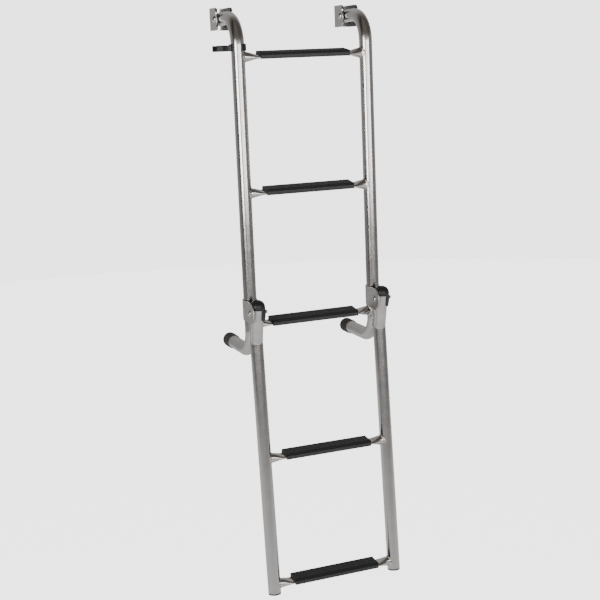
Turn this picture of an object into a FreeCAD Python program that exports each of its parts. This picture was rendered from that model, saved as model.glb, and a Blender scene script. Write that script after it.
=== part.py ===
import FreeCAD, Part
import os
from math import asin, atan2, cos, degrees, hypot, radians, sin, sqrt, tan

os.makedirs("parts", exist_ok=True)

# Folding boarding ladder of stainless tube, in millimetres. X is to the right seen from the front,
# Y is back towards the hull, Z is up. The origin is the middle of the left bracket's mounting face.
V = FreeCAD.Vector

# Tube
TUBE_OD = 25.4
TUBE_WALL = 1.2
RAIL_SPACING = 261.0

# Upper rails: gooseneck at the top, straight run, heel bend and stand-off leg at the bottom
RAIL_SETBACK = 107.0
GOOSENECK_RADIUS = 50.0
GOOSENECK_TAIL = 13.0
HEEL_BELOW_STEP = 12.0
HEEL_RADIUS = 45.0
STANDOFF_REACH = 31.5
STANDOFF_CAP_WALL = 2.0
STANDOFF_CAP_LENGTH = 24.0
STANDOFF_CAP_END = 5.0
STANDOFF_CAP_ROUND = 4.5

# Mounting brackets
PLATE = 2.5
BRACKET_DEPTH = 38.0
BRACKET_HEIGHT = 42.0
BRACKET_CORNER = 9.0
BRACKET_PAD = 1.6
BRACKET_PLAY = 0.3
BRACKET_PIVOT = 26.0
FIXING_SPACING = 30.0
FIXING_HOLE = 6.5
BOLT_DIAMETER = 8.0
BOLT_HEAD = 14.0
BOLT_HEAD_HEIGHT = 4.0
PIN_PLAY = 0.05

# Steps: a tube pressed flat in the middle, under a moulded tread
STEP_PITCH = 254.0
FIRST_STEP_DROP = 73.0
UPPER_STEPS = 3
LOWER_STEPS = 2
STEP_TILT = 9.5
BAR_OD = 19.05
BAR_WALL = 1.2
BAR_FLAT_THICK = 7.5
BAR_FLAT_WIDTH = 27.0
BAR_FLARE = 27.8
BAR_FLAT_MARGIN = 1.0
FLARE_SECTIONS = 5
TREAD_DEPTH = 32.0
TREAD_THICK = 11.0
TREAD_RISE = 3.0
TREAD_CORNER = 1.5
TREAD_BULGE = 0.8
TREAD_FIT = 0.1
NOSE_GROOVE = 1.0
NOSE_BAND = 8.5
RIB_GROOVES = 6
RIB_PITCH = 4.2
RIB_GROOVE_WIDTH = 1.6
RIB_GROOVE_DEPTH = 0.7

# Folding hinge: a plate bent round the back of the upper rail carries the pin on its left side
HINGE_OFFSET = 38.5
HINGE_ABOVE_STEP = 30.5
HINGE_PLATE = 2.3
HINGE_HEIGHT = 40.0
HINGE_JOGGLE = 10.0
HINGE_TAPER = 8.0
HINGE_PIN = 8.0
HINGE_PIN_HEAD = 10.0
HINGE_PIN_HEAD_HEIGHT = 2.2
HINGE_PLAY = 0.3

# Moulded cap on the end of the lower rail and the satin sleeve below it
CAP_RADIUS = 23.2
CAP_ROUND = 6.0
CAP_LEFT_INSET = 1.0
CAP_TONGUE = 2.2
CAP_TONGUE_WIDTH = 19.0
CAP_TONGUE_DROP = 18.0
CAP_SKIRT = 8.7
CAP_TUBE_TOP = 14.0
SLEEVE_WALL = 0.8
SLEEVE_LEFT = 11.2
SLEEVE_RIGHT = 4.2
SLEEVE_GAP = 0.3
SLEEVE_LENGTH = 61.0

# Lower rails: bent below the pin so that they hang close in front of the upper rails' heels
LOWER_TILT = 4.2
KINK_DROP = 58.0
KINK_RADIUS = 50.0
FIRST_LOWER_RUN = 290.0
REST_PAD = 1.5
REST_GAP = 0.3
REST_WIDTH = 14.0
REST_HEIGHT = 14.0
FOOT_TAIL = 24.0
FOOT_FLANGE = 3.0
FOOT_SPIGOT = 14.0

# Retaining clip
CLIP_DROP = 49.0
CLIP_REACH = 37.0
CLIP_HEIGHT = 13.0
CLIP_ARM_HEIGHT = 11.0
CLIP_ARM_HALF = 6.6
CLIP_WALL = 3.3
CLIP_GRIP_PLAY = 0.1
CLIP_SNAP_PLAY = 0.5
CLIP_MOUTH_TURN = 249.0
CLIP_MOUTH_HALF = 33.5
CLIP_SNAP_TURN = 180.0
CLIP_SNAP_HALF = 62.0

# Worked out from the sizes above
TUBE_R = TUBE_OD / 2
TUBE_BORE = TUBE_R - TUBE_WALL
RAIL_Y = -RAIL_SETBACK
PIVOT_Y = -BRACKET_PIVOT
STEP_Z = [-FIRST_STEP_DROP - i * STEP_PITCH for i in range(UPPER_STEPS)]
TREAD_LENGTH = RAIL_SPACING - TUBE_OD - 2 * BAR_FLARE
HEEL_Z = STEP_Z[-1] - HEEL_BELOW_STEP
LEG_Z = HEEL_Z - HEEL_RADIUS
PAD_INNER = TUBE_R + BRACKET_PLAY
CHEEK_INNER = PAD_INNER + BRACKET_PAD
CHEEK_OUTER = CHEEK_INNER + PLATE
HINGE_Y = RAIL_Y - HINGE_OFFSET
HINGE_Z = STEP_Z[-1] + HINGE_ABOVE_STEP
HINGE_INNER = TUBE_R + HINGE_PLAY
HINGE_OUTER = HINGE_INNER + HINGE_PLATE
TONGUE_OUTER = TUBE_R + CAP_TONGUE
SIDES = (("left", 0.0), ("right", RAIL_SPACING))

# The lower rail's bend rests against a pad on the heel of the upper rail
KINK_Z = HINGE_Z - KINK_DROP
BELOW_HEEL = max(0.0, HEEL_Z - KINK_Z)
REST_REACH = HEEL_RADIUS + TUBE_OD + REST_PAD + REST_GAP
KINK_Y = RAIL_Y + HEEL_RADIUS - sqrt(REST_REACH ** 2 - BELOW_HEEL ** 2)
REST_Z = KINK_Z + (REST_REACH - HEEL_RADIUS - TUBE_R) * BELOW_HEEL / REST_REACH

# Seen square to the lower rail's main run: how far the run lies behind the pin, and the bend below it
TILT = radians(LOWER_TILT)
RUN_BACK = (KINK_Y - HINGE_Y) * cos(TILT) + KINK_DROP * sin(TILT)
KINK_RUN = KINK_DROP * cos(TILT) - (KINK_Y - HINGE_Y) * sin(TILT)
KINK_TURN = atan2(RUN_BACK, KINK_RUN)
KINK_LENGTH = hypot(RUN_BACK, KINK_RUN)
LOWER_RUN = [FIRST_LOWER_RUN + i * STEP_PITCH for i in range(LOWER_STEPS)]
FOOT_RUN = LOWER_RUN[-1] + FOOT_TAIL


def export(shape, name):
    assert shape.isValid(), name
    shape.exportStep("parts/%s.step" % name)
    print("%-26s %d solid, %.1f cm3" % (name, len(shape.Solids), shape.Volume / 1000))


def rod(start, end, radius):
    axis = end - start
    return Part.makeCylinder(radius, axis.Length, start, axis)


def cross_rod(x, half, y, z, radius):
    return rod(V(x - half, y, z), V(x + half, y, z), radius)


def box(x0, x1, y0, y1, z0, z1):
    return Part.makeBox(x1 - x0, y1 - y0, z1 - z0, V(x0, y0, z0))


def ring(centre, axis, outer, inner):
    disc = Part.Face(Part.Wire(Part.Circle(centre, axis, outer).toShape()))
    return disc.cut(Part.Face(Part.Wire(Part.Circle(centre, axis, inner).toShape())))


def pipe(corners, bends, outer, inner):
    """Tube through the corner points, straight between bends of the given radii."""
    start = corners[0]
    pieces = []
    for before, corner, after, radius in zip(corners, corners[1:], corners[2:], bends):
        arriving = (corner - before).normalize()
        leaving = (after - corner).normalize()
        turn = arriving.getAngle(leaving)
        axis = arriving.cross(leaving).normalize()
        reach = radius * tan(turn / 2)
        bend_start = corner - arriving * reach
        bend_centre = bend_start + axis.cross(arriving) * radius
        pieces.append(ring(start, arriving, outer, inner).extrude(bend_start - start))
        pieces.append(ring(bend_start, arriving, outer, inner).revolve(bend_centre, axis, degrees(turn)))
        start = corner + leaving * reach
    last = corners[-1] - start
    pieces.append(ring(start, last, outer, inner).extrude(last))
    return pieces[0].fuse(pieces[1:])


def upper_pipe(x, outer, inner):
    """Upper rail from the open end in the bracket to the open end in the stand-off cap."""
    tail = V(x, PIVOT_Y + GOOSENECK_TAIL, 0)
    heel = V(x, RAIL_Y, LEG_Z)
    corners = [tail, V(x, RAIL_Y, 0), heel, V(x, STANDOFF_REACH, LEG_Z)]
    return pipe(corners, [GOOSENECK_RADIUS, HEEL_RADIUS], outer, inner)


def lower_pipe(x, outer, inner):
    """Lower rail with its pin at the origin and its short top part upright."""
    kink = V(x, 0, -KINK_LENGTH)
    foot = kink + V(0, -sin(KINK_TURN), -cos(KINK_TURN)) * (FOOT_RUN - KINK_RUN)
    return pipe([V(x, 0, CAP_TUBE_TOP), kink, foot], [KINK_RADIUS], outer, inner)


def place_on_pin(shape, turn):
    """Turn a piece about the pin, which it has at its origin, and move it to the hinge."""
    shape = shape.copy()
    shape.rotate(V(0, 0, 0), V(1, 0, 0), turn)
    shape.translate(V(0, HINGE_Y, HINGE_Z))
    return shape


def place_top(shape):
    return place_on_pin(shape, degrees(KINK_TURN) - LOWER_TILT)


def place_run(shape):
    return place_on_pin(shape, -LOWER_TILT)


def upper_rail(x):
    hole = cross_rod(x, TUBE_OD, PIVOT_Y, 0, BOLT_DIAMETER / 2 + PIN_PLAY)
    return upper_pipe(x, TUBE_R, TUBE_BORE).cut(hole)


def lower_rail(x):
    hole = cross_rod(x, TUBE_OD, 0, 0, HINGE_PIN / 2 + PIN_PLAY)
    return lower_pipe(x, TUBE_R, TUBE_BORE).cut(hole)


def cheek(x0, x1, back):
    """Side plate of a bracket with its two front corners rounded."""
    half = BRACKET_HEIGHT / 2
    plate = box(x0, x1, -BRACKET_DEPTH, back, -half, half)
    corners = [e for e in plate.Edges
               if abs(e.CenterOfMass.y + BRACKET_DEPTH) < 0.01 and abs(e.CenterOfMass.z) > half - 0.01]
    return plate.makeFillet(BRACKET_CORNER, corners)


def bracket(x):
    """Plate bent to a U: a back with two fixing holes and a cheek each side of the rail."""
    half = BRACKET_HEIGHT / 2
    left = cheek(x - CHEEK_OUTER, x - CHEEK_INNER, 0)
    right = cheek(x + CHEEK_INNER, x + CHEEK_OUTER, 0)
    back = box(x - CHEEK_OUTER, x + CHEEK_OUTER, -PLATE, 0, -half, half)
    holes = [cross_rod(x, CHEEK_OUTER + PLATE, PIVOT_Y, 0, BOLT_DIAMETER / 2)]
    for z in (-FIXING_SPACING / 2, FIXING_SPACING / 2):
        holes.append(rod(V(x, -2 * PLATE, z), V(x, PLATE, z), FIXING_HOLE / 2))
    return left.fuse([back, right]).cut(holes)


def bracket_pad(x0):
    """Liner between a cheek and the rail, reaching back to the bracket's back plate."""
    hole = cross_rod(x0, 2 * BRACKET_PAD, PIVOT_Y, 0, BOLT_DIAMETER / 2)
    return cheek(x0, x0 + BRACKET_PAD, -PLATE).cut(hole)


def headed_pin(left, right, y, z, diameter, head, head_height):
    """Pin along X between two faces with a low domed head outside each, as a turned piece."""
    rim = head / 2
    ball = (rim ** 2 + head_height ** 2) / (2 * head_height)
    half_turn = asin(rim / ball) / 2
    mid_rise = head_height - ball * (1 - cos(half_turn))
    mid_rim = ball * sin(half_turn)

    def at(x, out):
        return V(x, y, z + out)

    edges = [Part.LineSegment(at(left - head_height, 0), at(right + head_height, 0)).toShape(),
             Part.Arc(at(right + head_height, 0), at(right + mid_rise, mid_rim), at(right, rim)).toShape(),
             Part.LineSegment(at(right, rim), at(right, diameter / 2)).toShape(),
             Part.LineSegment(at(right, diameter / 2), at(left, diameter / 2)).toShape(),
             Part.LineSegment(at(left, diameter / 2), at(left, rim)).toShape(),
             Part.Arc(at(left, rim), at(left - mid_rise, mid_rim), at(left - head_height, 0)).toShape()]
    return Part.Face(Part.Wire(edges)).revolve(V(left, y, z), V(1, 0, 0), 360)


def bracket_bolt(x):
    return headed_pin(x - CHEEK_OUTER, x + CHEEK_OUTER, PIVOT_Y, 0, BOLT_DIAMETER, BOLT_HEAD, BOLT_HEAD_HEIGHT)


def hinge_pin(x):
    far = x + TONGUE_OUTER + HINGE_PLAY
    return headed_pin(x - HINGE_OUTER, far, HINGE_Y, HINGE_Z, HINGE_PIN, HINGE_PIN_HEAD, HINGE_PIN_HEAD_HEIGHT)


def standoff_cap(x):
    mouth = V(x, STANDOFF_REACH - STANDOFF_CAP_LENGTH, LEG_Z)
    seat = V(x, STANDOFF_REACH, LEG_Z)
    end = V(x, STANDOFF_REACH + STANDOFF_CAP_END, LEG_Z)
    body = rod(mouth, end, TUBE_R + STANDOFF_CAP_WALL)
    rim = [e for e in body.Edges if abs(e.CenterOfMass.y - end.y) < 0.01]
    return body.makeFillet(STANDOFF_CAP_ROUND, rim).cut(rod(mouth, seat, TUBE_R))


def bar_section(x, press, grow):
    """Section of the step bar at x: press goes from 0, the round tube, to 1, the pressed flat."""
    half_width = (BAR_OD + press * (BAR_FLAT_WIDTH - BAR_OD)) / 2 + grow
    half_thick = (BAR_OD + press * (BAR_FLAT_THICK - BAR_OD)) / 2 + grow
    if press > 0:
        curve = Part.Ellipse(V(x, half_width, 0), V(x, 0, half_thick), V(x, 0, 0))
    else:
        curve = Part.Circle(V(x, 0, 0), V(1, 0, 0), half_width)
        curve.XAxis = V(0, 1, 0)
    return Part.Wire(curve.toShape())


def bar_flat(half, grow):
    return Part.Face(bar_section(-half, 1, grow)).extrude(V(2 * half, 0, 0))


def bar_form(grow):
    """Outside (grow 0) or inside of the step bar: round ends, eased flares and the flat."""
    half = RAIL_SPACING / 2
    neck = half - TUBE_R
    flat = TREAD_LENGTH / 2 + BAR_FLAT_MARGIN
    pieces = [bar_flat(flat, grow)]
    for side in (-1, 1):
        sections = []
        for i in range(FLARE_SECTIONS):
            share = i / (FLARE_SECTIONS - 1)
            press = share * share * (3 - 2 * share)
            sections.append(bar_section(side * (neck + share * (flat - neck)), press, grow))
        pieces.append(Part.makeLoft(sections, True))
        pieces.append(rod(V(side * neck, 0, 0), V(side * half, 0, 0), BAR_OD / 2 + grow))
    return pieces[0].fuse(pieces[1:])


def step_bar():
    """Bar in its own frame, centred between the rails and coped to sit on their outside."""
    shape = bar_form(0).cut(bar_form(-BAR_WALL))
    shape.rotate(V(0, 0, 0), V(1, 0, 0), STEP_TILT)
    half = RAIL_SPACING / 2
    for x in (-half, half):
        shape = shape.cut(rod(V(x, 0, -BAR_OD), V(x, 0, BAR_OD), TUBE_R))
    return max(shape.Solids, key=lambda solid: solid.Volume)


def tread():
    """Moulded tread snapped over the bar: bulged nose with a groove over it, and a ribbed top."""
    half = TREAD_LENGTH / 2
    front = -TREAD_DEPTH / 2
    back = TREAD_DEPTH / 2
    low = TREAD_RISE - TREAD_THICK / 2
    top = TREAD_RISE + TREAD_THICK / 2
    ease = TREAD_CORNER * (1 - sqrt(0.5))

    def at(y, z):
        return V(-half, y, z)

    outline = [Part.Arc(at(front, low), at(front - TREAD_BULGE, low + NOSE_BAND / 2), at(front, low + NOSE_BAND)).toShape(),
               Part.LineSegment(at(front, low + NOSE_BAND), at(front, top - TREAD_CORNER)).toShape(),
               Part.Arc(at(front, top - TREAD_CORNER), at(front + ease, top - ease), at(front + TREAD_CORNER, top)).toShape(),
               Part.LineSegment(at(front + TREAD_CORNER, top), at(back - TREAD_CORNER, top)).toShape(),
               Part.Arc(at(back - TREAD_CORNER, top), at(back - ease, top - ease), at(back, top - TREAD_CORNER)).toShape(),
               Part.LineSegment(at(back, top - TREAD_CORNER), at(back, low)).toShape(),
               Part.LineSegment(at(back, low), at(front, low)).toShape()]
    slab = Part.Face(Part.Wire(outline)).extrude(V(TREAD_LENGTH, 0, 0))
    groove_low = low + NOSE_BAND - NOSE_GROOVE / 2
    cuts = [bar_flat(half + BAR_FLAT_MARGIN, TREAD_FIT),
            box(-half, half, front - TREAD_BULGE, front + NOSE_GROOVE, groove_low, groove_low + NOSE_GROOVE)]
    for i in range(RIB_GROOVES):
        y = (i - (RIB_GROOVES - 1) / 2) * RIB_PITCH
        cuts.append(box(-half, half, y - RIB_GROOVE_WIDTH / 2, y + RIB_GROOVE_WIDTH / 2, top - RIB_GROOVE_DEPTH, top))
    shape = slab.cut(cuts)
    shape.rotate(V(0, 0, 0), V(1, 0, 0), STEP_TILT)
    return shape


def hinge_plan(x, grow):
    """Inside (grow 0) or outside of the bent hinge plate from above, closed along the rails' middle."""
    r = TUBE_R + grow
    wide = HINGE_INNER + grow
    nose = HINGE_Y - HINGE_HEIGHT / 2
    left = V(x - r, RAIL_Y, 0)
    right = V(x + r, RAIL_Y, 0)
    corners = [right, V(x, RAIL_Y, 0), V(x, nose, 0), V(x - wide, nose, 0), V(x - wide, RAIL_Y - HINGE_JOGGLE, 0), left]
    back = Part.Arc(left, V(x, RAIL_Y + r, 0), right).toShape()
    return Part.Face(Part.Wire(Part.makePolygon(corners).Edges + [back]))


def hinge_bracket(x):
    """Plate wrapped round the back of the upper rail, its left side reaching forward to the pin."""
    half = HINGE_HEIGHT / 2
    low = HINGE_Z - half
    up = V(0, 0, HINGE_HEIGHT)
    band = hinge_plan(x, HINGE_PLATE).extrude(up).cut(hinge_plan(x, 0).extrude(up))
    band.translate(V(0, 0, low))
    reach = HINGE_OUTER + HINGE_PLATE
    back = RAIL_Y + TUBE_R + HINGE_PLATE
    side = cross_rod(x, reach, HINGE_Y, HINGE_Z, half).fuse(box(x - reach, x + reach, HINGE_Y, back, low, low + HINGE_HEIGHT))
    taper = [V(x - reach, RAIL_Y, low), V(x - reach, back, low), V(x - reach, back, low + HINGE_TAPER), V(x - reach, RAIL_Y, low)]
    taper = Part.Face(Part.makePolygon(taper)).extrude(V(2 * reach, 0, 0))
    return band.common(side).cut([taper, cross_rod(x, reach, HINGE_Y, HINGE_Z, HINGE_PIN / 2)])


def hinge_stop(x):
    """Rubber saddle on the front of the upper rail's heel, where the lower rail comes to rest."""
    half = REST_WIDTH / 2
    low = REST_Z - REST_HEIGHT / 2
    shell = upper_pipe(x, TUBE_R + REST_PAD, TUBE_R)
    return shell.common(box(x - half, x + half, RAIL_Y - TUBE_OD, RAIL_Y, low, low + REST_HEIGHT))


def hinge_cap(x):
    """Moulded cap over the lower rail's end, flat beside the plate and with a tongue down its right."""
    left = x - TUBE_R + CAP_LEFT_INSET
    right = x + TONGUE_OUTER
    dome = rod(V(left, 0, 0), V(right, 0, 0), CAP_RADIUS)
    rim = [e for e in dome.Edges if abs(e.CenterOfMass.x - right) < 0.01 and e.Closed]
    dome = dome.makeFillet(CAP_ROUND, rim)
    dome = dome.common(box(left, right, -CAP_RADIUS, CAP_RADIUS, CAP_SKIRT, CAP_RADIUS))
    dome = dome.cut(rod(V(x, 0, 0), V(x, 0, CAP_TUBE_TOP), TUBE_R))
    tongue_r = CAP_TONGUE_WIDTH / 2
    tongue_end = tongue_r - CAP_TONGUE_DROP
    tongue = rod(V(x + TUBE_R, 0, tongue_end), V(right, 0, tongue_end), tongue_r)
    tongue = tongue.fuse(box(x + TUBE_R, right, -tongue_r, tongue_r, tongue_end, CAP_SKIRT))
    return dome.fuse(tongue).cut(cross_rod(x, TUBE_OD, 0, 0, HINGE_PIN / 2 + PIN_PLAY))


def hinge_sleeve(x):
    """Thin satin strip down the left front of the lower rail, from under the cap to the bend."""
    shell = lower_pipe(x, TUBE_R + SLEEVE_WALL, TUBE_R)
    top = CAP_SKIRT - SLEEVE_GAP
    return shell.common(box(x - SLEEVE_LEFT, x + SLEEVE_RIGHT, -TUBE_OD, 0, -SLEEVE_LENGTH, top))


def foot_plug(x):
    end = V(x, RUN_BACK, -FOOT_RUN)
    flange = rod(end, end + V(0, 0, -FOOT_FLANGE), TUBE_R)
    return flange.fuse(rod(end + V(0, 0, FOOT_SPIGOT), end, TUBE_BORE))


def mouth(centre, radius, turn, half, height):
    """Wedge that opens a ring over twice the half angle about the turn, both in degrees."""
    reach = 3 * radius
    a = radians(turn - half)
    b = radians(turn + half)
    first = centre + V(reach * cos(a), reach * sin(a), 0)
    last = centre + V(reach * cos(b), reach * sin(b), 0)
    return Part.Face(Part.makePolygon([centre, first, last, centre])).extrude(V(0, 0, height))


def retaining_clip():
    """Two open rings side by side: one grips the left upper rail, the other takes the folded lower rail."""
    grip_in = TUBE_R + CLIP_GRIP_PLAY
    snap_in = TUBE_R + CLIP_SNAP_PLAY
    low = -CLIP_DROP - CLIP_HEIGHT
    grip = V(0, RAIL_Y, low)
    snap = V(-CLIP_REACH, RAIL_Y, low)
    up = V(0, 0, CLIP_HEIGHT)
    arm_up = V(0, 0, CLIP_ARM_HEIGHT)
    arm = box(-CLIP_REACH, 0, RAIL_Y - CLIP_ARM_HALF, RAIL_Y + CLIP_ARM_HALF, low, low + CLIP_ARM_HEIGHT)
    shape = rod(grip, grip + up, grip_in + CLIP_WALL).fuse([rod(snap, snap + arm_up, snap_in + CLIP_WALL), arm])
    return shape.cut([rod(grip, grip + up, grip_in), rod(snap, snap + up, snap_in),
                      mouth(grip, grip_in + CLIP_WALL, CLIP_MOUTH_TURN, CLIP_MOUTH_HALF, CLIP_HEIGHT),
                      mouth(snap, snap_in + CLIP_WALL, CLIP_SNAP_TURN, CLIP_SNAP_HALF, CLIP_HEIGHT)])


def export_side(side, x):
    export(bracket(x), side + "_bracket")
    export(bracket_pad(x - CHEEK_INNER), side + "_bracket_left_pad")
    export(bracket_pad(x + PAD_INNER), side + "_bracket_right_pad")
    export(bracket_bolt(x), side + "_bracket_bolt")
    export(upper_rail(x), side + "_upper_rail")
    export(standoff_cap(x), side + "_standoff_cap")
    export(hinge_bracket(x), side + "_hinge_bracket")
    export(hinge_pin(x), side + "_hinge_pin")
    export(hinge_stop(x), side + "_hinge_stop")
    export(place_top(lower_rail(x)), side + "_lower_rail")
    export(place_top(hinge_cap(x)), side + "_hinge_cap")
    export(place_top(hinge_sleeve(x)), side + "_hinge_sleeve")
    export(place_run(foot_plug(x)), side + "_foot_plug")


def export_steps():
    """The same bar and tread repeated down the upper section, then down the lower rails' run."""
    pieces = (("bar", step_bar()), ("tread", tread()))
    middle = RAIL_SPACING / 2
    for kind, piece in pieces:
        for i, z in enumerate(STEP_Z):
            export(piece.translated(V(middle, RAIL_Y, z)), "step_%d_%s" % (i + 1, kind))
        for i, run in enumerate(LOWER_RUN):
            placed = place_run(piece.translated(V(middle, RUN_BACK, -run)))
            export(placed, "step_%d_%s" % (UPPER_STEPS + i + 1, kind))


for name, rail_x in SIDES:
    export_side(name, rail_x)
export_steps()
export(retaining_clip(), "retaining_clip")
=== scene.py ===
from math import atan2, cos, exp, pi, radians, sin, sqrt, tan

import bmesh
import bpy
from bpy.props import FloatProperty, FloatVectorProperty, IntProperty, PointerProperty
from mathutils import Matrix, Vector


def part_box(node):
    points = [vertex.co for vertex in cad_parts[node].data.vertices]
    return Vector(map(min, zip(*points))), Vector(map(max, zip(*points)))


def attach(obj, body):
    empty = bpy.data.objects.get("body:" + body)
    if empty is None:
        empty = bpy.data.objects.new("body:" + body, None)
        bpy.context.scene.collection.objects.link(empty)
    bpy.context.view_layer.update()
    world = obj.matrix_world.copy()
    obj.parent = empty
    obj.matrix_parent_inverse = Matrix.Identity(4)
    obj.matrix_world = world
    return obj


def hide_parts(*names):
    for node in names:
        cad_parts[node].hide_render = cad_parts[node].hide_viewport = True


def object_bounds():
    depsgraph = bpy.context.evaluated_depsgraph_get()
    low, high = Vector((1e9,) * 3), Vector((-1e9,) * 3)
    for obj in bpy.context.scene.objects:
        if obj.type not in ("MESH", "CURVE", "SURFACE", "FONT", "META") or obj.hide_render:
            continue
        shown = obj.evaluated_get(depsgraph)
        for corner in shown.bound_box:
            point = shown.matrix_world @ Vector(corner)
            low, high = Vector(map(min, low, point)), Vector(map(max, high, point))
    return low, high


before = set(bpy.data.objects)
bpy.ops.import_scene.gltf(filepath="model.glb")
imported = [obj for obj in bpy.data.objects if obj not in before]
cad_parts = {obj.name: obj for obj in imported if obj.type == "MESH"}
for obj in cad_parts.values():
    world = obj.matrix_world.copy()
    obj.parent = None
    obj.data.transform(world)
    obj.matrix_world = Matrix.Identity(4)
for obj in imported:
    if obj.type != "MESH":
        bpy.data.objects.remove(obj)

CAD_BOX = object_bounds()

bl_info = {
    "name": "Folding boarding ladder",
    "version": (1, 0, 0),
    "blender": (4, 5, 0),
    "location": "3D View > Sidebar > Ladder",
    "description": "Finishes and small fittings of a stainless folding boarding ladder",
    "category": "Object",
}

FULL_TURN = 2 * pi
WHITE = (1.0, 1.0, 1.0, 1.0)

# Brightness of the room's walls by turn, from straight in front of the ladder round by its left and back
ROOM_WALLS = ((0.0, 0.40), (0.083, 0.42), (0.147, 0.34), (0.206, 0.07), (0.235, 0.12), (0.28, 0.26),
              (0.408, 0.40), (0.5, 0.50), (0.592, 0.48), (0.694, 0.42), (0.806, 0.26), (0.875, 0.28),
              (1.0, 0.40))

# Where each zone of the room fades in, by how far a direction points up, down or forward, as a share of 1
OVERHEAD_UP = (0.12, 0.4)
OVERHEAD_FORWARD = (-0.62, -0.1)
SHADED_DOWN = (0.10, 0.15)
LOW_DOWN = (0.212, 0.255)
TABLE_DOWN = (0.42, 0.52)
TABLE_FORWARD = (-0.1, 0.3)
TABLE_UP = (-0.8, -0.66)
OVERHEAD_TINT = (1.0, 0.9, 0.82, 1.0)

# Softboxes: name, turn to the left of straight in front, distance, half their width as a turn, height of the
# lower and upper edge, and power
SOFTBOXES = (
    ("left_softbox", 51.0, 2.3, 12.5, -0.62, 0.35, 26.0),
    ("front_softbox", 2.5, 3.0, 19.5, -0.70, 0.35, 22.0),
    ("right_softbox", -24.5, 3.0, 7.0, -0.66, 0.35, 13.0),
)

# The softboxes stand round this place on the line of the rails
SOFTBOX_AIM_X = 0.05

# The floor is a disc under the middle of the ladder
FLOOR_X = 0.13
FLOOR_RADIUS = 6.0
FLOOR_SIDES = 64

# The camera's sensor in millimetres, and how far it sees in metres
SENSOR_WIDTH = 36
CLIP_END = 40

# Outlines as reach from the axis and height: the cap above the pin, and the rivet head above its plate
CAP_OUTLINE = ((0.0, 0.0246), (0.0040, 0.0244), (0.0075, 0.0234), (0.0105, 0.0215), (0.0128, 0.0188),
               (0.0142, 0.0158), (0.0148, 0.0130), (0.0148, 0.0108), (0.0148, 0.0087), (0.0148, 0.0055),
               (0.0148, 0.0020), (0.0148, -0.0015), (0.0148, -0.0050), (0.0148, -0.0080), (0.0148, -0.0110),
               (0.0148, -0.0135), (0.0148, -0.0155))
RIVET_OUTLINE = ((0.0, 0.0036), (0.0020, 0.0035), (0.0040, 0.0030), (0.0053, 0.0023), (0.0060, 0.0013),
                 (0.0063, 0.0004), (0.0063, 0.0), (0.0, 0.0))
RIVET_TURNS = 48
FAR_HEAD_SHARE = 0.6

# The tongue keeps its full depth over a share of its half arc, and its corners round up beyond it
TONGUE_FULL = 0.6
TONGUE_ROUNDING = 0.22

# Vertices of the cap lower than its skirt by more than this belong to the tongue
SKIRT_MARGIN = 1e-5

# The tongue's swelling: its middle below the pin and its height
SWELL_DROP = 0.004
SWELL_HEIGHT = 0.011

# Painted shade in the recess over a tread's nose: where it fades in above and in front of the step's centre
GROOVE_SHADE_UP = (0.0042, 0.0050)
GROOVE_SHADE_FORWARD = (0.0105, 0.0125)

# The blunter finish of an upper rail's heel fades out over this height above the heel's lowest point
HEEL_FADE = (0.030, 0.060)

# Scales of the buffing lines, across them and along them
GRAIN_ACROSS = 900.0
GRAIN_ALONG = 26.0

# Straw and grey tint of the welds
WELD_HEAT = (0.42, 0.36, 0.30, 1.0)

# Vertices within this height of the feet belong to the cut end of a lower rail and to its plug, and edges of
# the trimmed pieces that turn by more than the angle stay sharp
FOOT_ZONE = 0.03
SHARP_EDGE = radians(30)

# Sides of a weld bead's round section
BEAD_SIDES = 10

# Vertices nearer than this are one: at a cap's pole, and in any finished piece
POLE_GAP = 1e-6
VERTEX_GAP = 1e-7

NYLON_NAME = "black_nylon_moulded"

# The sides, and the steps from the top down, of which the last two are on the lower section
SIDES = ("left", "right")
STEPS = range(1, 6)
LOWER_STEPS = (4, 5)


def middle(node):
    low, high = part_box(node)
    return (Vector(low) + Vector(high)) / 2


def span(node):
    low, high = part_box(node)
    return Vector(high) - Vector(low)


# Sizes read from the frame
TUBE_RADIUS = span("left_upper_rail").x / 2
BAR_RADIUS = span("step_1_bar").z / 2
RAIL_X = {side: middle(side + "_upper_rail").x for side in SIDES}
RAIL_Y = middle("step_1_bar").y
HEEL_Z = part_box("left_upper_rail")[0][2]
FOOT_Z = CAD_BOX[0][2]


class Line:
    """A value in a material's tree: arithmetic on it adds Math nodes."""

    def __init__(self, tree, socket):
        self.tree = tree
        self.socket = socket

    def join(self, operation, first, second):
        return self.tree.add("ShaderNodeMath", {"operation": operation}, {0: first, 1: second}).line(0)

    def __add__(self, other):
        return self.join("ADD", self, other)

    def __radd__(self, other):
        return self.join("ADD", other, self)

    def __sub__(self, other):
        return self.join("SUBTRACT", self, other)

    def __rsub__(self, other):
        return self.join("SUBTRACT", other, self)

    def __mul__(self, other):
        return self.join("MULTIPLY", self, other)

    def __rmul__(self, other):
        return self.join("MULTIPLY", other, self)

    def __neg__(self):
        return 0 - self

    def at_least(self, other):
        return self.join("MAXIMUM", self, other)

    def ramp(self, low, high):
        """0 below low, 1 above high and eased between."""
        settings = {"interpolation_type": "SMOOTHSTEP"}
        return self.tree.add("ShaderNodeMapRange", settings, {0: self, 1: low, 2: high}).line(0)


class Node:
    """A node just made, whose outputs can be taken as lines."""

    def __init__(self, tree, node):
        self.tree = tree
        self.node = node

    def line(self, output):
        return Line(self.tree, self.node.outputs[output])


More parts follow.
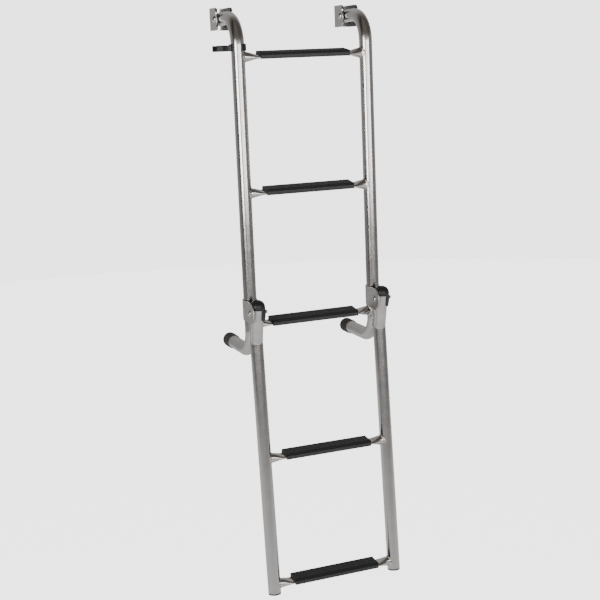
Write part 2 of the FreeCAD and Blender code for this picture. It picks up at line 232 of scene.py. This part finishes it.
class Tree:
    """The node tree of a material or of the world."""

    def __init__(self, owner):
        owner.use_nodes = True
        self.nodes = owner.node_tree.nodes
        self.links = owner.node_tree.links
        self.nodes.clear()

    def add(self, kind, settings=None, inputs=None):
        """One node, with its settings and then the values or links of its sockets."""
        node = self.nodes.new(kind)
        for name, value in (settings or {}).items():
            if name == "stops":
                self.set_stops(node.color_ramp, value)
            else:
                setattr(node, name, value)
        for name, value in (inputs or {}).items():
            if isinstance(value, Line):
                self.links.new(value.socket, node.inputs[name])
            else:
                node.inputs[name].default_value = value
        return Node(self, node)

    @staticmethod
    def set_stops(ramp, stops):
        while len(ramp.elements) < len(stops):
            ramp.elements.new(0.5)
        for element, (place, level) in zip(ramp.elements, stops):
            element.position = place
            element.color = (level, level, level, 1)

    def place(self):
        """Object coordinates."""
        return self.add("ShaderNodeTexCoord").line("Object")

    def axis(self, vector, name):
        """One axis of a vector as a value."""
        return self.add("ShaderNodeSeparateXYZ", None, {0: vector}).line(name)

    def stretched(self, vector, scale):
        return self.add("ShaderNodeMapping", None, {"Vector": vector, "Scale": scale}).line("Vector")

    def noise(self, vector, scale, detail, roughness):
        inputs = {"Vector": vector, "Scale": scale, "Detail": detail, "Roughness": roughness}
        return self.add("ShaderNodeTexNoise", {"noise_dimensions": "3D"}, inputs).line(0)

    def blend(self, share, first, second):
        inputs = {0: share, 6: first, 7: second}
        return self.add("ShaderNodeMix", {"data_type": "RGBA"}, inputs).line(2)

    def bump(self, height, strength, distance):
        inputs = {"Strength": strength, "Distance": distance, "Height": height}
        return self.add("ShaderNodeBump", None, inputs).line("Normal")

    def surface(self, inputs):
        shader = self.add("ShaderNodeBsdfPrincipled", None, inputs).line("BSDF")
        self.add("ShaderNodeOutputMaterial", None, {"Surface": shader})


def shade(colour, factor):
    return tuple(channel * factor for channel in colour[:3]) + (1.0,)


def polished_steel(name, grain, heel_haze=0.0):
    """Buffed stainless tube: soft haze, fine lines along the grain, and a blunter finish round the heel."""
    finish = bpy.context.scene.ladder_finish
    material = bpy.data.materials.new(name)
    tree = Tree(material)
    vector = tree.place()
    lines = tree.noise(tree.stretched(vector, grain), scale=1.0, detail=4.0, roughness=0.6)
    haze = tree.noise(vector, scale=38.0, detail=3.0, roughness=0.55)
    specks = tree.noise(vector, scale=420.0, detail=2.0, roughness=0.6).ramp(0.68, 0.82)
    height = tree.axis(vector, "Z")
    heel = (1 - height.ramp(HEEL_Z + HEEL_FADE[0], HEEL_Z + HEEL_FADE[1])) * heel_haze
    tint = tree.blend(haze.ramp(0.35, 0.7), shade(finish.steel, 0.96), shade(finish.steel, 1.03))
    colour = tree.blend(specks * 0.15, tint, shade(finish.steel, 0.8))
    roughness = finish.polish + (haze - 0.5) * 0.06 + (lines - 0.5) * 0.06 + specks * 0.06 + heel
    grain_relief = tree.bump(lines * 0.85 + haze * 0.15, strength=0.04, distance=0.00005)
    tree.surface({"Base Color": colour, "Metallic": 1.0, "Roughness": roughness.at_least(0.04),
                  "Normal": grain_relief})
    return material


def satin_steel():
    """Brushed stainless plate and sleeve: blunt grey with short horizontal brush marks."""
    finish = bpy.context.scene.ladder_finish
    material = bpy.data.materials.new("satin_steel_brushed")
    tree = Tree(material)
    vector = tree.place()
    marks = tree.noise(tree.stretched(vector, (150.0, 150.0, 2600.0)), scale=1.0, detail=3.0, roughness=0.65)
    cloud = tree.noise(vector, scale=60.0, detail=3.0, roughness=0.5)
    colour = tree.blend(cloud.ramp(0.3, 0.7), shade(finish.satin, 0.9), shade(finish.satin, 1.06))
    colour = tree.blend(marks.ramp(0.55, 0.8) * 0.35, colour, shade(finish.satin, 0.75))
    roughness = 0.42 + (marks - 0.5) * 0.18 + (cloud - 0.5) * 0.1
    tree.surface({"Base Color": colour, "Metallic": 0.9, "Roughness": roughness.at_least(0.2),
                  "Normal": tree.bump(marks, strength=0.3, distance=0.00012)})
    return material


def weld_steel():
    """Weld metal: bright rippled beads with a faint straw and grey heat tint."""
    finish = bpy.context.scene.ladder_finish
    material = bpy.data.materials.new("weld_steel")
    tree = Tree(material)
    vector = tree.place()
    ripple = tree.noise(vector, scale=900.0, detail=3.0, roughness=0.6)
    heat = tree.noise(vector, scale=160.0, detail=2.0, roughness=0.5)
    colour = tree.blend(heat.ramp(0.4, 0.7), shade(finish.steel, 1.1), WELD_HEAT)
    tree.surface({"Base Color": colour, "Metallic": 1.0, "Roughness": 0.28 + (ripple - 0.5) * 0.25,
                  "Normal": tree.bump(ripple, strength=0.5, distance=0.0003)})
    return material


def nose_groove_shade(tree, vector, centre, tilt):
    """Painted shade: 1 in the recess between the ribbed top and the nose of one step's tread, and 0
    elsewhere.
    """
    y = tree.axis(vector, "Y") - centre.y
    z = tree.axis(vector, "Z") - centre.z
    back = y * cos(tilt) + z * sin(tilt)
    up = z * cos(tilt) - y * sin(tilt)
    return up.ramp(*GROOVE_SHADE_UP) * (-back).ramp(*GROOVE_SHADE_FORWARD)


def moulded_black(name, base, gloss, pebble, depth, seat=None):
    """Black moulding with a fine spark-eroded skin, a broad uneven tone and paler rubbed spots.

    A tread has a seat, the centre and the tilt of its step, and its recess above the nose is darkened with
    painted shade."""
    material = bpy.data.materials.new(name)
    tree = Tree(material)
    vector = tree.place()
    skin = tree.noise(vector, scale=pebble, detail=3.0, roughness=0.55)
    broad = tree.noise(vector, scale=45.0, detail=3.0, roughness=0.5)
    rubbed = tree.noise(vector, scale=140.0, detail=4.0, roughness=0.6).ramp(0.58, 0.78)
    colour = tree.blend(broad.ramp(0.3, 0.75), shade(base, 0.8), shade(base, 1.2))
    colour = tree.blend(rubbed * 0.5, colour, shade(base, 1.9))
    roughness = gloss + (skin - 0.5) * 0.2 + (broad - 0.5) * 0.12
    if seat:
        # Painted shade: the recess over the nose of a tread is darkened, and made rougher
        recess = nose_groove_shade(tree, vector, *seat)
        colour = tree.blend(recess, colour, shade(base, 0.4))
        roughness = roughness + recess * 0.3
    tree.surface({"Base Color": colour, "Roughness": roughness.at_least(0.15), "IOR": 1.48,
                  "Normal": tree.bump(skin * 0.8 + broad * 0.2, strength=0.35, distance=depth)})
    return material


def pale_floor():
    """Plain pale floor as bright as the backdrop, so that no horizon shows."""
    studio = bpy.context.scene.ladder_studio
    material = bpy.data.materials.new("pale_floor")
    tree = Tree(material)
    mottle = tree.noise(tree.place(), scale=3.0, detail=2.0, roughness=0.5)
    colour = tree.blend(mottle, shade(studio.floor_colour, 0.99), shade(studio.floor_colour, 1.0))
    tree.surface({"Base Color": colour, "Roughness": 0.9, "Emission Color": WHITE,
                  "Emission Strength": studio.backdrop})
    return material


def paint(node, material):
    """Give a solid of the frame its material."""
    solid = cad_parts[node]
    for slot in solid.material_slots:
        slot.material = material
    if not solid.material_slots:
        solid.data.materials.append(material)


def turned(points, axis, turns):
    """A bmesh of an outline that is spun a full turn about an axis through the origin."""
    builder = bmesh.new()
    outline = [builder.verts.new(point) for point in points]
    edges = [builder.edges.new(pair) for pair in zip(outline, outline[1:])]
    bmesh.ops.spin(builder, geom=outline + edges, cent=(0, 0, 0), axis=axis, angle=FULL_TURN, steps=turns,
                   use_merge=True)
    return builder


def finished(builder, name, material, body):
    """Close a bmesh into an object of its own that rides on a body."""
    mesh = bpy.data.meshes.new(name)
    bmesh.ops.remove_doubles(builder, verts=builder.verts, dist=VERTEX_GAP)
    bmesh.ops.recalc_face_normals(builder, faces=builder.faces)
    builder.to_mesh(mesh)
    builder.free()
    for polygon in mesh.polygons:
        polygon.use_smooth = True
    mesh.materials.append(material)
    piece = bpy.data.objects.new(name, mesh)
    bpy.context.scene.collection.objects.link(piece)
    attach(piece, body)
    return piece


def body_of_step(step):
    return "lower_section" if step in LOWER_STEPS else "upper_section"


class LadderFinish(bpy.types.PropertyGroup):
    """Colours and polish of the ladder's surfaces."""
    steel: FloatVectorProperty(name="Steel", description="Colour of the polished tube", subtype="COLOR",
                               default=(0.62, 0.595, 0.575), min=0, max=1)
    satin: FloatVectorProperty(name="Satin", description="Colour of the brushed plates", subtype="COLOR",
                               default=(0.56, 0.54, 0.52), min=0, max=1)
    polish: FloatProperty(name="Polish", description="Roughness of the polished tube",
                          default=0.17, min=0, max=1, subtype="FACTOR")
    nylon: FloatVectorProperty(name="Nylon", description="Colour of the hinge caps, clip, pads and plugs",
                               subtype="COLOR", default=(0.014, 0.014, 0.016), min=0, max=1)
    tread: FloatVectorProperty(name="Tread", description="Colour of the step treads", subtype="COLOR",
                               default=(0.030, 0.030, 0.031), min=0, max=1)
    rubber: FloatVectorProperty(name="Rubber", description="Colour of the stand-off caps and hinge stops",
                                subtype="COLOR", default=(0.040, 0.040, 0.040), min=0, max=1)


class LadderFittings(bpy.types.PropertyGroup):
    """Sizes of the small fittings."""
    bead: FloatProperty(name="Weld bead", description="Radius of the weld beads round the step bars",
                        default=0.0018, unit="LENGTH")
    bead_turns: IntProperty(name="Weld steps", description="Segments round each weld bead", default=48)
    foot_trim: FloatProperty(name="Foot trim", description="Length cut off the foot of each lower rail",
                             default=0.0075, unit="LENGTH")
    run_tilt: FloatProperty(name="Run tilt", description="Tilt of the lower rails' main run",
                            default=radians(4.2), subtype="ANGLE")
    step_tilt: FloatProperty(name="Step tilt", default=radians(9.5), subtype="ANGLE",
                             description="Tilt of the steps against their rails, the nose down")
    lean: FloatProperty(name="Cap lean", description="Lean of the lower rail's short top part",
                        default=radians(12.62), subtype="ANGLE")
    cap_wall: FloatProperty(name="Cap wall", description="Wall of the hinge caps",
                            default=0.00205, unit="LENGTH")
    cap_skirt: FloatProperty(name="Cap skirt", description="Height of the cap's lower edge above the pin",
                             default=0.0087, unit="LENGTH")
    cap_flat: FloatProperty(name="Cap flat", description="Reach of the cap towards its plate",
                            default=0.0117, unit="LENGTH")
    cap_turns: IntProperty(name="Cap steps", description="Segments round each cap", default=96)
    tongue_bulge: FloatProperty(name="Tongue bulge", default=0.0021, unit="LENGTH",
                                description="How far the tongue swells over the pin's end")
    tongue_turn: FloatProperty(name="Tongue turn", description="Half of the arc that the tongue covers",
                               default=radians(73.0), subtype="ANGLE")


class LadderStudio(bpy.types.PropertyGroup):
    """Camera, floor and light."""
    camera_place: FloatVectorProperty(name="Camera place", description="Where the camera stands",
                                      subtype="TRANSLATION", default=(-0.7334, -2.2543, -0.0898))
    azimuth: FloatProperty(name="Azimuth", description="Turn of the view to the right of straight ahead",
                           default=radians(21.29), subtype="ANGLE")
    pitch: FloatProperty(name="Pitch", description="Downward tilt of the view",
                         default=radians(11.15), subtype="ANGLE")
    roll: FloatProperty(name="Roll", description="Clockwise turn of the camera",
                        default=radians(2.36), subtype="ANGLE")
    lens: FloatProperty(name="Lens", description="Focal length on a 36 mm wide sensor",
                        default=71.82, unit="CAMERA")
    floor_drop: FloatProperty(name="Floor drop", description="Gap between the feet and the floor",
                              default=0.35, unit="LENGTH")
    floor_colour: FloatVectorProperty(name="Floor", description="Colour of the floor", subtype="COLOR",
                                      default=(0.93, 0.93, 0.93), min=0, max=1)
    light: FloatProperty(name="Light", description="Share of the softboxes' full power", default=1.0, min=0)
    backdrop: FloatProperty(name="Backdrop", description="Brightness of the plain backdrop and floor",
                            default=3.0, min=0)
    dim_overhead: FloatProperty(name="Dim overhead", description="Share of the room's light missing overhead",
                                default=0.6, min=0, max=1, subtype="FACTOR")
    shaded: FloatProperty(name="Shaded", description="Share of the walls' light missing below level",
                          default=0.35, min=0, max=1, subtype="FACTOR")
    low_room: FloatProperty(name="Low room", description="Brightness of the room low down",
                            default=0.76, min=0)
    table: FloatProperty(name="Table", description="Extra brightness low down in front", default=0.35, min=0)


class LADDER_OT_rails(bpy.types.Operator):
    """Finish the rails, brackets and pins in polished steel"""
    bl_idname = "ladder.rails"
    bl_label = "Rails and brackets"

    def execute(self, context):
        grain = (GRAIN_ACROSS, GRAIN_ACROSS, GRAIN_ALONG)
        upright = polished_steel("polished_steel_upright", grain)
        heeled = polished_steel("polished_steel_heeled", grain, heel_haze=0.26)
        for side in SIDES:
            paint(side + "_upper_rail", heeled)
            for part in ("lower_rail", "bracket", "bracket_bolt", "hinge_pin"):
                paint("%s_%s" % (side, part), upright)
        return {"FINISHED"}


class LADDER_OT_bars(bpy.types.Operator):
    """Finish the step bars in polished steel with the buffing lines along them"""
    bl_idname = "ladder.bars"
    bl_label = "Step bars"

    def execute(self, context):
        across = polished_steel("polished_steel_across", (GRAIN_ALONG, GRAIN_ACROSS, GRAIN_ACROSS))
        for step in STEPS:
            paint("step_%d_bar" % step, across)
        return {"FINISHED"}


class LADDER_OT_hinges(bpy.types.Operator):
    """Finish the hinge plates and sleeves in brushed steel, and the pads, plugs and clip in nylon"""
    bl_idname = "ladder.hinges"
    bl_label = "Hinges"

    def execute(self, context):
        brushed = satin_steel()
        base = context.scene.ladder_finish.nylon
        nylon = moulded_black(NYLON_NAME, base, gloss=0.4, pebble=900.0, depth=0.0002)
        for side in SIDES:
            paint(side + "_hinge_bracket", brushed)
            paint(side + "_hinge_sleeve", brushed)
            for part in ("hinge_cap", "bracket_left_pad", "bracket_right_pad", "foot_plug"):
                paint("%s_%s" % (side, part), nylon)
        paint("retaining_clip", nylon)
        return {"FINISHED"}


class LADDER_OT_feet(bpy.types.Operator):
    """Cut the lower rails to their length and seat their plugs in the cut ends"""
    bl_idname = "ladder.feet"
    bl_label = "Feet"

    def execute(self, context):
        fittings = context.scene.ladder_fittings
        lift = Vector((0, sin(fittings.run_tilt), cos(fittings.run_tilt))) * fittings.foot_trim
        for side in SIDES:
            for part, slot in (("lower_rail", "polished_steel"), ("foot_plug", "black_nylon")):
                self.trim("%s_%s" % (side, part), slot, lift)
        return {"FINISHED"}

    def trim(self, node, slot, lift):
        """A copy of a solid whose lowest part is moved up along the rail."""
        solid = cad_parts[node]
        material = solid.data.materials[0]
        builder = bmesh.new()
        builder.from_mesh(solid.data)
        builder.transform(solid.matrix_world)
        foot = [vertex for vertex in builder.verts if vertex.co.z < FOOT_Z + FOOT_ZONE]
        bmesh.ops.translate(builder, verts=foot, vec=lift)
        piece = finished(builder, node.replace("_", "_trimmed_", 1), material, "lower_section")
        piece.data.set_sharp_from_angle(angle=SHARP_EDGE)
        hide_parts(node)


class LADDER_OT_caps(bpy.types.Operator):
    """Mould the caps over the ends of the lower rails, each with a tongue down its right"""
    bl_idname = "ladder.caps"
    bl_label = "Hinge caps"

    def execute(self, context):
        fittings = context.scene.ladder_fittings
        nylon = bpy.data.materials[NYLON_NAME]
        for side in SIDES:
            builder = self.shell(fittings)
            turn = Matrix.Rotation(fittings.lean, 3, "X")
            bmesh.ops.rotate(builder, verts=builder.verts, cent=(0, 0, 0), matrix=turn)
            pin = middle(side + "_hinge_pin")
            bmesh.ops.translate(builder, verts=builder.verts, vec=(RAIL_X[side], pin.y, pin.z))
            cap = finished(builder, side + "_moulded_cap", nylon, "lower_section")
            wall = cap.modifiers.new("wall", "SOLIDIFY")
            wall.thickness = fittings.cap_wall
            wall.offset = -1
            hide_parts(side + "_hinge_cap")
        return {"FINISHED"}

    def shell(self, fittings):
        """Outside of the cap about the pin: a domed cup, cut away below its skirt but for the tongue."""
        builder = turned([(reach, 0, height) for reach, height in CAP_OUTLINE], (0, 0, 1), fittings.cap_turns)
        bmesh.ops.remove_doubles(builder, verts=builder.verts, dist=POLE_GAP)
        spare = [face for face in builder.faces if self.is_spare(face.calc_center_median(), fittings)]
        bmesh.ops.delete(builder, geom=spare, context="FACES")
        for vertex in builder.verts:
            self.shape(vertex, fittings)
        return builder

    def is_spare(self, centre, fittings):
        return centre.z < fittings.cap_skirt and abs(atan2(centre.y, centre.x)) > fittings.tongue_turn

    def shape(self, vertex, fittings):
        """Round the tongue's corners, flatten the plate's side and swell the tongue over the pin's end."""
        below = fittings.cap_skirt - vertex.co.z
        if below > SKIRT_MARGIN:
            share = abs(atan2(vertex.co.y, vertex.co.x)) / fittings.tongue_turn
            edge = max(0.0, share - TONGUE_FULL) / (1 - TONGUE_FULL)
            vertex.co.z += below * TONGUE_ROUNDING * edge ** 2
        facing = max(0.0, cos(atan2(vertex.co.y, vertex.co.x)))
        swell = exp(-((vertex.co.z + SWELL_DROP) / SWELL_HEIGHT) ** 2)
        vertex.co.x = max(vertex.co.x, -fittings.cap_flat) + fittings.tongue_bulge * facing ** 2 * swell


class LADDER_OT_rivets(bpy.types.Operator):
    """Put a domed head on the plate's side of each hinge pin and a smaller one on its far end"""
    bl_idname = "ladder.rivets"
    bl_label = "Rivet heads"

    def execute(self, context):
        polished = polished_steel("polished_steel_rivet", (500.0, 500.0, 500.0))
        for side in SIDES:
            plate_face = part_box(side + "_hinge_bracket")[0][0]
            far_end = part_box(side + "_hinge_pin")[1][0]
            self.head(side, "rivet_head", plate_face, -1.0, 1.0, polished)
            self.head(side, "rivet_far_head", far_end, 1.0, FAR_HEAD_SHARE, polished)
        return {"FINISHED"}

    def head(self, side, name, face, outward, share, material):
        """A dome about the pin, standing on a face; share is its radius against the outline's."""
        points = [(outward * height, share * reach, 0) for reach, height in RIVET_OUTLINE]
        builder = turned(points, (1, 0, 0), RIVET_TURNS)
        pin = middle(side + "_hinge_pin")
        bmesh.ops.translate(builder, verts=builder.verts, vec=(face, pin.y, pin.z))
        finished(builder, "%s_%s" % (side, name), material, "upper_section")


class LADDER_OT_treads(bpy.types.Operator):
    """Finish the moulded treads, each with painted shade in the recess over its nose"""
    bl_idname = "ladder.treads"
    bl_label = "Treads"

    def execute(self, context):
        fittings = context.scene.ladder_fittings
        base = context.scene.ladder_finish.tread
        for step in STEPS:
            tilt = fittings.step_tilt - (fittings.run_tilt if step in LOWER_STEPS else 0)
            seat = (middle("step_%d_bar" % step), tilt)
            name = "black_tread_%d_moulded" % step
            moulded = moulded_black(name, base, gloss=0.55, pebble=700.0, depth=0.0003, seat=seat)
            paint("step_%d_tread" % step, moulded)
        return {"FINISHED"}


class LADDER_OT_rubbers(bpy.types.Operator):
    """Finish the stand-off caps and hinge stops in matt rubber"""
    bl_idname = "ladder.rubbers"
    bl_label = "Rubber caps"

    def execute(self, context):
        base = context.scene.ladder_finish.rubber
        matt = moulded_black("black_rubber_matt", base, gloss=0.7, pebble=500.0, depth=0.0004)
        for side in SIDES:
            paint(side + "_standoff_cap", matt)
            paint(side + "_hinge_stop", matt)
        return {"FINISHED"}


class LADDER_OT_welds(bpy.types.Operator):
    """Run a weld bead round each end of every step bar"""
    bl_idname = "ladder.welds"
    bl_label = "Weld beads"

    def execute(self, context):
        fittings = context.scene.ladder_fittings
        metal = weld_steel()
        for step in STEPS:
            for side in SIDES:
                self.bead(step, side, fittings, metal)
        return {"FINISHED"}

    def bead(self, step, side, fittings, metal):
        """A ring round the bar, pushed along it to follow the round of the rail."""
        centre = middle("step_%d_bar" % step)
        inward = 1 if side == "left" else -1
        builder = bmesh.new()
        ring = bmesh.ops.create_circle(builder, segments=BEAD_SIDES, radius=fittings.bead)["verts"]
        bmesh.ops.rotate(builder, verts=ring, cent=(0, 0, 0), matrix=Matrix.Rotation(pi / 2, 3, "Z"))
        bmesh.ops.translate(builder, verts=ring, vec=(0, BAR_RADIUS, 0))
        bmesh.ops.spin(builder, geom=builder.verts[:] + builder.edges[:], cent=(0, 0, 0), axis=(1, 0, 0),
                       angle=FULL_TURN, steps=fittings.bead_turns, use_merge=True)
        for vertex in builder.verts:
            across = min(abs(vertex.co.y), TUBE_RADIUS)
            vertex.co.x = inward * (vertex.co.x + sqrt(TUBE_RADIUS ** 2 - across ** 2))
        bmesh.ops.translate(builder, verts=builder.verts, vec=(RAIL_X[side], centre.y, centre.z))
        finished(builder, "step_%d_%s_weld" % (step, side), metal, body_of_step(step))


class LADDER_OT_stage(bpy.types.Operator):
    """Set the pale floor, the soft lights and the camera"""
    bl_idname = "ladder.stage"
    bl_label = "Stage"

    def execute(self, context):
        studio = context.scene.ladder_studio
        self.floor(studio)
        self.surroundings(studio)
        self.camera(context, studio)
        for name, turn, distance, half_turn, low, high, power in SOFTBOXES:
            self.softbox(name, radians(turn), distance, radians(half_turn), (low, high), power * studio.light)
        return {"FINISHED"}

    def floor(self, studio):
        """A disc well below the feet, which the ladder neither mirrors nor catches light from."""
        builder = bmesh.new()
        bmesh.ops.create_circle(builder, cap_ends=True, segments=FLOOR_SIDES, radius=FLOOR_RADIUS)
        bmesh.ops.translate(builder, verts=builder.verts, vec=(FLOOR_X, 0, FOOT_Z - studio.floor_drop))
        mesh = bpy.data.meshes.new("floor")
        builder.to_mesh(mesh)
        builder.free()
        mesh.materials.append(pale_floor())
        floor = bpy.data.objects.new("floor", mesh)
        floor.visible_glossy = False
        floor.visible_diffuse = False
        bpy.context.scene.collection.objects.link(floor)

    def surroundings(self, studio):
        """A plain backdrop for the camera, and a grey room to reflect, dim overhead and pale low down."""
        world = bpy.data.worlds.new("pale_room")
        bpy.context.scene.world = world
        tree = Tree(world)
        heading = tree.add("ShaderNodeTexCoord").line("Generated")
        x, y, z = (tree.axis(heading, name) for name in "XYZ")
        turn = x.join("ARCTAN2", x, y) * (0.5 / pi) + 0.5
        walls = tree.add("ShaderNodeValToRGB", {"stops": ROOM_WALLS}, {0: turn}).line("Color")
        overhead = z.ramp(*OVERHEAD_UP) * (-y).ramp(*OVERHEAD_FORWARD)
        shaded = (-z).ramp(*SHADED_DOWN)
        low = (-z).ramp(*LOW_DOWN)
        table = (-z).ramp(*TABLE_DOWN) * (-y).ramp(*TABLE_FORWARD) * z.ramp(*TABLE_UP)
        walls = walls * (1 - overhead * studio.dim_overhead) * (1 - shaded * studio.shaded)
        level = walls * (1 - low) + low * studio.low_room + table * studio.table
        tint = tree.blend(overhead, WHITE, OVERHEAD_TINT)
        seen = tree.add("ShaderNodeLightPath").line("Is Camera Ray")
        room = tree.add("ShaderNodeBackground", None, {"Color": tint, "Strength": level}).line(0)
        plain = tree.add("ShaderNodeBackground", None, {"Color": WHITE, "Strength": studio.backdrop}).line(0)
        mixed = tree.add("ShaderNodeMixShader", None, {0: seen, 1: room, 2: plain}).line(0)
        tree.add("ShaderNodeOutputWorld", None, {"Surface": mixed})

    def camera(self, context, studio):
        """The camera at the photograph's place, turned by azimuth, pitch and roll."""
        data = bpy.data.cameras.new("camera")
        data.sensor_width = SENSOR_WIDTH
        data.lens = studio.lens
        data.clip_end = CLIP_END
        camera = bpy.data.objects.new("camera", data)
        context.scene.collection.objects.link(camera)
        ahead = Vector((sin(studio.azimuth) * cos(studio.pitch),
                        cos(studio.azimuth) * cos(studio.pitch),
                        -sin(studio.pitch)))
        level = Vector((cos(studio.azimuth), -sin(studio.azimuth), 0))
        down = ahead.cross(level)
        right = cos(studio.roll) * level + sin(studio.roll) * down
        below = cos(studio.roll) * down - sin(studio.roll) * level
        turn = Matrix((right, -below, -ahead)).transposed().to_4x4()
        camera.matrix_world = Matrix.Translation(studio.camera_place) @ turn
        context.scene.camera = camera

    def softbox(self, name, turn, distance, half_turn, heights, power):
        """Upright softbox that faces the rails from a turn to the left of straight in front."""
        data = bpy.data.lights.new(name, "AREA")
        data.shape = "RECTANGLE"
        data.size = 2 * distance * tan(half_turn)
        data.size_y = heights[1] - heights[0]
        data.energy = power
        light = bpy.data.objects.new(name, data)
        light.visible_camera = False
        bpy.context.scene.collection.objects.link(light)
        outward = Vector((-sin(turn), -cos(turn), 0))
        place = Vector((SOFTBOX_AIM_X, RAIL_Y, sum(heights) / 2)) + distance * outward
        facing = (-outward).to_track_quat("-Z", "Y").to_matrix().to_4x4()
        light.matrix_world = Matrix.Translation(place) @ facing


OPERATORS = (LADDER_OT_rails, LADDER_OT_bars, LADDER_OT_hinges, LADDER_OT_feet, LADDER_OT_caps,
             LADDER_OT_rivets, LADDER_OT_treads, LADDER_OT_rubbers, LADDER_OT_welds, LADDER_OT_stage)


class VIEW3D_PT_ladder(bpy.types.Panel):
    """The ladder's finishes and fittings"""
    bl_idname = "VIEW3D_PT_ladder"
    bl_label = "Ladder"
    bl_space_type = "VIEW_3D"
    bl_region_type = "UI"
    bl_category = "Ladder"

    def draw(self, context):
        for operator in OPERATORS:
            self.layout.operator(operator.bl_idname)


GROUPS = {"ladder_finish": LadderFinish, "ladder_fittings": LadderFittings, "ladder_studio": LadderStudio}
CLASSES = tuple(GROUPS.values()) + OPERATORS + (VIEW3D_PT_ladder,)


def register():
    for cls in CLASSES:
        bpy.utils.register_class(cls)
    for name, group in GROUPS.items():
        setattr(bpy.types.Scene, name, PointerProperty(type=group))


def unregister():
    for name in GROUPS:
        delattr(bpy.types.Scene, name)
    for cls in reversed(CLASSES):
        bpy.utils.unregister_class(cls)


def main():
    register()
    bpy.ops.ladder.rails()
    bpy.ops.ladder.bars()
    bpy.ops.ladder.hinges()
    bpy.ops.ladder.feet()
    bpy.ops.ladder.caps()
    bpy.ops.ladder.rivets()
    bpy.ops.ladder.treads()
    bpy.ops.ladder.rubbers()
    bpy.ops.ladder.welds()
    bpy.ops.ladder.stage()


if __name__ == "__main__":
    main()
